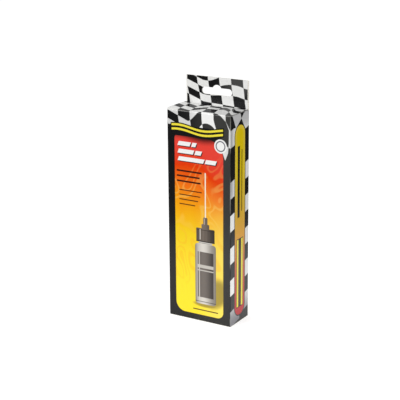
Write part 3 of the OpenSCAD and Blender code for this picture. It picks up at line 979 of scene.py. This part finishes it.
# The two shades of each of the tube's materials, how clear its milky plastic is, and the powder's glint
BOTTLE_SHADES = screen(226, 226, 220), screen(244, 244, 240)
FILM_SHADES = screen(46, 41, 39), screen(80, 75, 72)
GRAPHITE_SHADES = screen(38, 38, 41), screen(86, 86, 92)
CAP_SHADES = screen(46, 38, 34), screen(72, 62, 56)
STEEL_SHADES = screen(186, 187, 190), screen(222, 222, 224)
FOAM_SHADES = screen(238, 238, 234), screen(206, 206, 200)
BOTTLE_CLEAR, BOTTLE_IOR = 0.75, 1.51
GRAPHITE_METAL = 0.35
# Silver bands on the label, as shares of its height
LABEL_BANDS = ((0.62, 0.69), (0.55, 0.575), (0.0, 0.02), (0.98, 1.0))


def bottle_plastic():
    """Milky soft plastic, a little cloudy inside."""
    finish = Finish("bottle_plastic")
    cloud = finish.place.noise(scale=0.25, detail=3.0)
    finish.put("Base Color", cloud.between(*BOTTLE_SHADES))
    finish.put("Roughness", cloud.spread(0.24, 0.4))
    finish.put("Transmission Weight", BOTTLE_CLEAR)
    finish.put("IOR", BOTTLE_IOR)
    return finish.material


def label_film():
    """Dark printed film with silver bands."""
    finish = Finish("label_film")
    _, _, z = finish.place.split()
    h = (z - LABEL_LOW[2]) / (LABEL_HIGH[2] - LABEL_LOW[2])
    smear = finish.place.noise(scale=0.5, detail=3.0)
    colour = (smear.soft(0.5, 0.9) * 0.5).between(*FILM_SHADES)
    for low, high in LABEL_BANDS:
        colour = colour.paint(SILVER, h.over(low) * (1 - h.over(high)))
    finish.put("Base Color", colour)
    finish.put("Roughness", smear.spread(0.28, 0.48))
    return finish.material


def graphite():
    """Fine dark grey powder with a faint metallic glint."""
    finish = Finish("graphite")
    grain = finish.place.noise(scale=4.0, detail=4.0, rough=0.7)
    finish.put("Base Color", grain.soft(0.4, 0.8).between(*GRAPHITE_SHADES))
    finish.put("Roughness", grain.spread(0.4, 0.7))
    finish.put("Metallic", GRAPHITE_METAL)
    finish.bump(grain, depth=0.2, strength=0.5)
    return finish.material


def cap_plastic():
    """Dark brown moulded plastic with a fine matt grain."""
    finish = Finish("cap_plastic")
    grain = finish.place.noise(scale=3.0, detail=3.0)
    rub = finish.place.noise(scale=0.4)
    finish.put("Base Color", rub.soft(0.35, 0.8).between(*CAP_SHADES))
    finish.put("Roughness", grain.spread(0.34, 0.54))
    finish.bump(grain, depth=0.05, strength=0.2)
    return finish.material


def needle_steel():
    """Drawn stainless tube with fine lengthwise lines."""
    finish = Finish("needle_steel")
    lines = finish.place.stretch(14.0, 14.0, 0.12).noise(detail=3.0)
    finish.put("Base Color", lines.between(*STEEL_SHADES))
    finish.put("Roughness", lines.spread(0.16, 0.38))
    finish.put("Metallic", 1.0)
    return finish.material


def washer_foam():
    """White closed foam with small pits."""
    finish = Finish("washer_foam")
    pits = finish.place.noise(scale=5.0)
    finish.put("Base Color", pits.soft(0.5, 0.8).between(*FOAM_SHADES))
    finish.put("Roughness", pits.spread(0.6, 0.8))
    finish.bump(pits, depth=0.1, strength=0.3)
    return finish.material


# The powder: rings and points on a ring, sink of its top and fall to its rim in mm, lumps (height, number
# round it, twist outwards), and the bevel of its foot (share of the radius, rise)
HEAP_RINGS, HEAP_POINTS = 18, 72
HEAP_SINK, HEAP_FALL = 0.6, 2.2
HEAP_LUMPS = [(0.35, 3, 5), (0.2, 7, -9)]
HEAP_FOOT = [(1.0, 0.7), (0.95, 0.0)]


def powder_piece(name):
    """The powder as a settled, lumpy heap."""
    radius, foot = POWDER_HIGH[0], POWDER_LOW[2]
    top = POWDER_HIGH[2] - HEAP_SINK
    angles = [TURN * i / HEAP_POINTS for i in range(HEAP_POINTS)]
    rows = []
    for r in range(1, HEAP_RINGS + 1):
        f = r / HEAP_RINGS
        row = []
        for a in angles:
            lump = sum(height * math.sin(number * a + twist * f) for height, number, twist in HEAP_LUMPS)
            row.append((radius * f, a, top - HEAP_FALL * f * f + lump * f))
        rows.append(row)
    for share, rise in HEAP_FOOT:
        rows.append([(radius * share, a, foot + rise) for a in angles])
    verts = [(0.0, 0.0, top)]
    verts += [(r * math.cos(a), r * math.sin(a), z) for row in rows for r, a, z in row]
    faces = []
    for i in range(HEAP_POINTS):
        k = (i + 1) % HEAP_POINTS
        faces.append((0, 1 + i, 1 + k))
        for n in range(len(rows) - 1):
            a, b = 1 + n * HEAP_POINTS, 1 + (n + 1) * HEAP_POINTS
            faces.append((a + i, b + i, b + k, a + k))
    last = 1 + (len(rows) - 1) * HEAP_POINTS
    faces.append(tuple(range(last, last + HEAP_POINTS)))
    return add_piece(name, verts, faces, [graphite()], [0] * len(faces), SHARP_HEAP)


def place_tube():
    """Finishes of the tube's pieces, and its powder."""
    cap = cap_plastic()
    set_material("bottle", bottle_plastic())
    set_material("bottle_label", label_film())
    set_material("screw_cap", cap)
    set_material("needle_hub", cap)
    set_material("needle_tube", needle_steel())
    set_material("sealing_washer", washer_foam())
    stand_for(powder_piece("powder_heap"), "tube", "graphite_powder")


# Camera, fitted to the carton's edges: degrees, pixels of a 400 pixel frame, and mm from the front's foot
AZIMUTH, ELEVATION, ROLL = 31.011, 16.665, -0.344
FOCAL_PX, FRAME_PX, SENSOR = 1150.0, 400, 36.0
AIM_RIGHT, AIM_UP, AIM_BACK = 0.289, 86.213, 821.25
CLIP_NEAR = 0.01


def place_camera():
    a, e, r = (math.radians(v) for v in (AZIMUTH, ELEVATION, ROLL))
    back = Vector((math.sin(a) * math.cos(e), -math.cos(a) * math.cos(e), math.sin(e)))
    level = Vector((math.cos(a), math.sin(a), 0.0))
    upright = back.cross(level)
    right = level * math.cos(r) + upright * math.sin(r)
    up = upright * math.cos(r) - level * math.sin(r)
    spot = right * AIM_RIGHT + up * AIM_UP + back * AIM_BACK
    spot.y -= HALF_D
    lens = bpy.data.cameras.new("camera")
    lens.lens = FOCAL_PX / FRAME_PX * SENSOR
    lens.sensor_width = SENSOR
    lens.clip_start = CLIP_NEAR
    camera = bpy.data.objects.new("camera", lens)
    turn = Matrix((right, up, back)).transposed().to_4x4()
    camera.matrix_world = Matrix.Translation(spot * MM) @ turn
    bpy.context.collection.objects.link(camera)
    bpy.context.scene.camera = camera


# Lamps: name, place and size in metres, watts
LAMPS = [("key", (-0.62, -1.05, 0.6), 0.7, 9.2), ("fill", (1.0, -0.32, 0.42), 0.7, 4.4)]
# Light of the sky on the carton, and as its gloss mirrors it
SKY_LIGHT, SKY_MIRRORED = 0.6, 0.9
# The floor: half its length in metres, its own brightness under the camera, the painted pool of light round
# the carton in mm, and its shade in the pool and beyond
FLOOR_REACH, FLOOR_LIFT = 6.0, 0.5
POOL_NEAR, POOL_FAR = 130.0, 300.0
FLOOR_SHADE, FAR_SHADE, FLOOR_ROUGH = 0.86, 0.1, 0.9


def grey(level):
    return (level, level, level)


def place_light(name, spot, size, watts):
    lamp = bpy.data.lights.new(name, "AREA")
    lamp.size = size
    lamp.energy = watts
    light = bpy.data.objects.new(name, lamp)
    light.location = spot
    aim = Vector((0.0, 0.0, HEIGHT * MM / 2)) - Vector(spot)
    light.rotation_euler = aim.to_track_quat("-Z", "Y").to_euler()
    bpy.context.collection.objects.link(light)


def seen_directly(tree):
    """(1 for what the camera shows, 1 for what a reflection shows, 1 for what clear plastic shows)."""
    kinds = ("Is Camera Ray", "Is Glossy Ray", "Is Transmission Ray")
    return Ink(tree).node("ShaderNodeLightPath", out=kinds)


def place_floor():
    """A pale floor that the camera sees as white, with a painted pool of light round the carton: a brighter
    base colour there, and a glow that reflections and clear plastic see.
    """
    far = FLOOR_REACH
    corners = [(-far, -far, 0), (far, -far, 0), (far, far, 0), (-far, far, 0)]
    mesh = bpy.data.meshes.new("floor")
    mesh.from_pydata(corners, [], [(0, 1, 2, 3)])
    floor = bpy.data.objects.new("floor", mesh)
    bpy.context.collection.objects.link(floor)
    finish = Finish("floor")
    x, y, _ = finish.place.split()
    # Painted pool of light: brighter floor near the carton, and a glow there that reflections and clear
    # plastic see
    painted_pool = (x * x + y * y).root().soft(POOL_FAR, POOL_NEAR)
    camera, mirrored, through = seen_directly(finish.material.node_tree)
    lift = painted_pool.between(grey(1.0), grey(FLOOR_LIFT))
    glow = (mirrored.most(through) * painted_pool * FLOOR_LIFT).between(grey(0.0), grey(1.0))
    finish.put("Base Color", painted_pool.between(grey(FAR_SHADE), grey(FLOOR_SHADE)))
    finish.put("Roughness", FLOOR_ROUGH)
    finish.put("Specular IOR Level", 0.0)
    finish.put("Emission Color", glow.paint(lift, camera))
    finish.put("Emission Strength", 1.0)
    mesh.materials.append(finish.material)


def place_sky():
    """A white surround that lights the carton softly, and the lamps."""
    world = bpy.data.worlds.new("world")
    bpy.context.scene.world = world
    world.use_nodes = True
    sky = next(n for n in world.node_tree.nodes if n.type == "BACKGROUND")
    camera, mirrored, through = seen_directly(world.node_tree)
    camera.feed(sky.inputs["Color"], grey(1.0))
    level = SKY_LIGHT + camera.most(through) * (1 - SKY_LIGHT) + mirrored * (SKY_MIRRORED - SKY_LIGHT)
    camera.feed(sky.inputs["Strength"], level)
    for lamp in LAMPS:
        place_light(*lamp)


place_carton()
finish_flaps()
place_tube()
place_camera()
place_floor()
place_sky()
bpy.context.scene.view_settings.view_transform = "Standard"
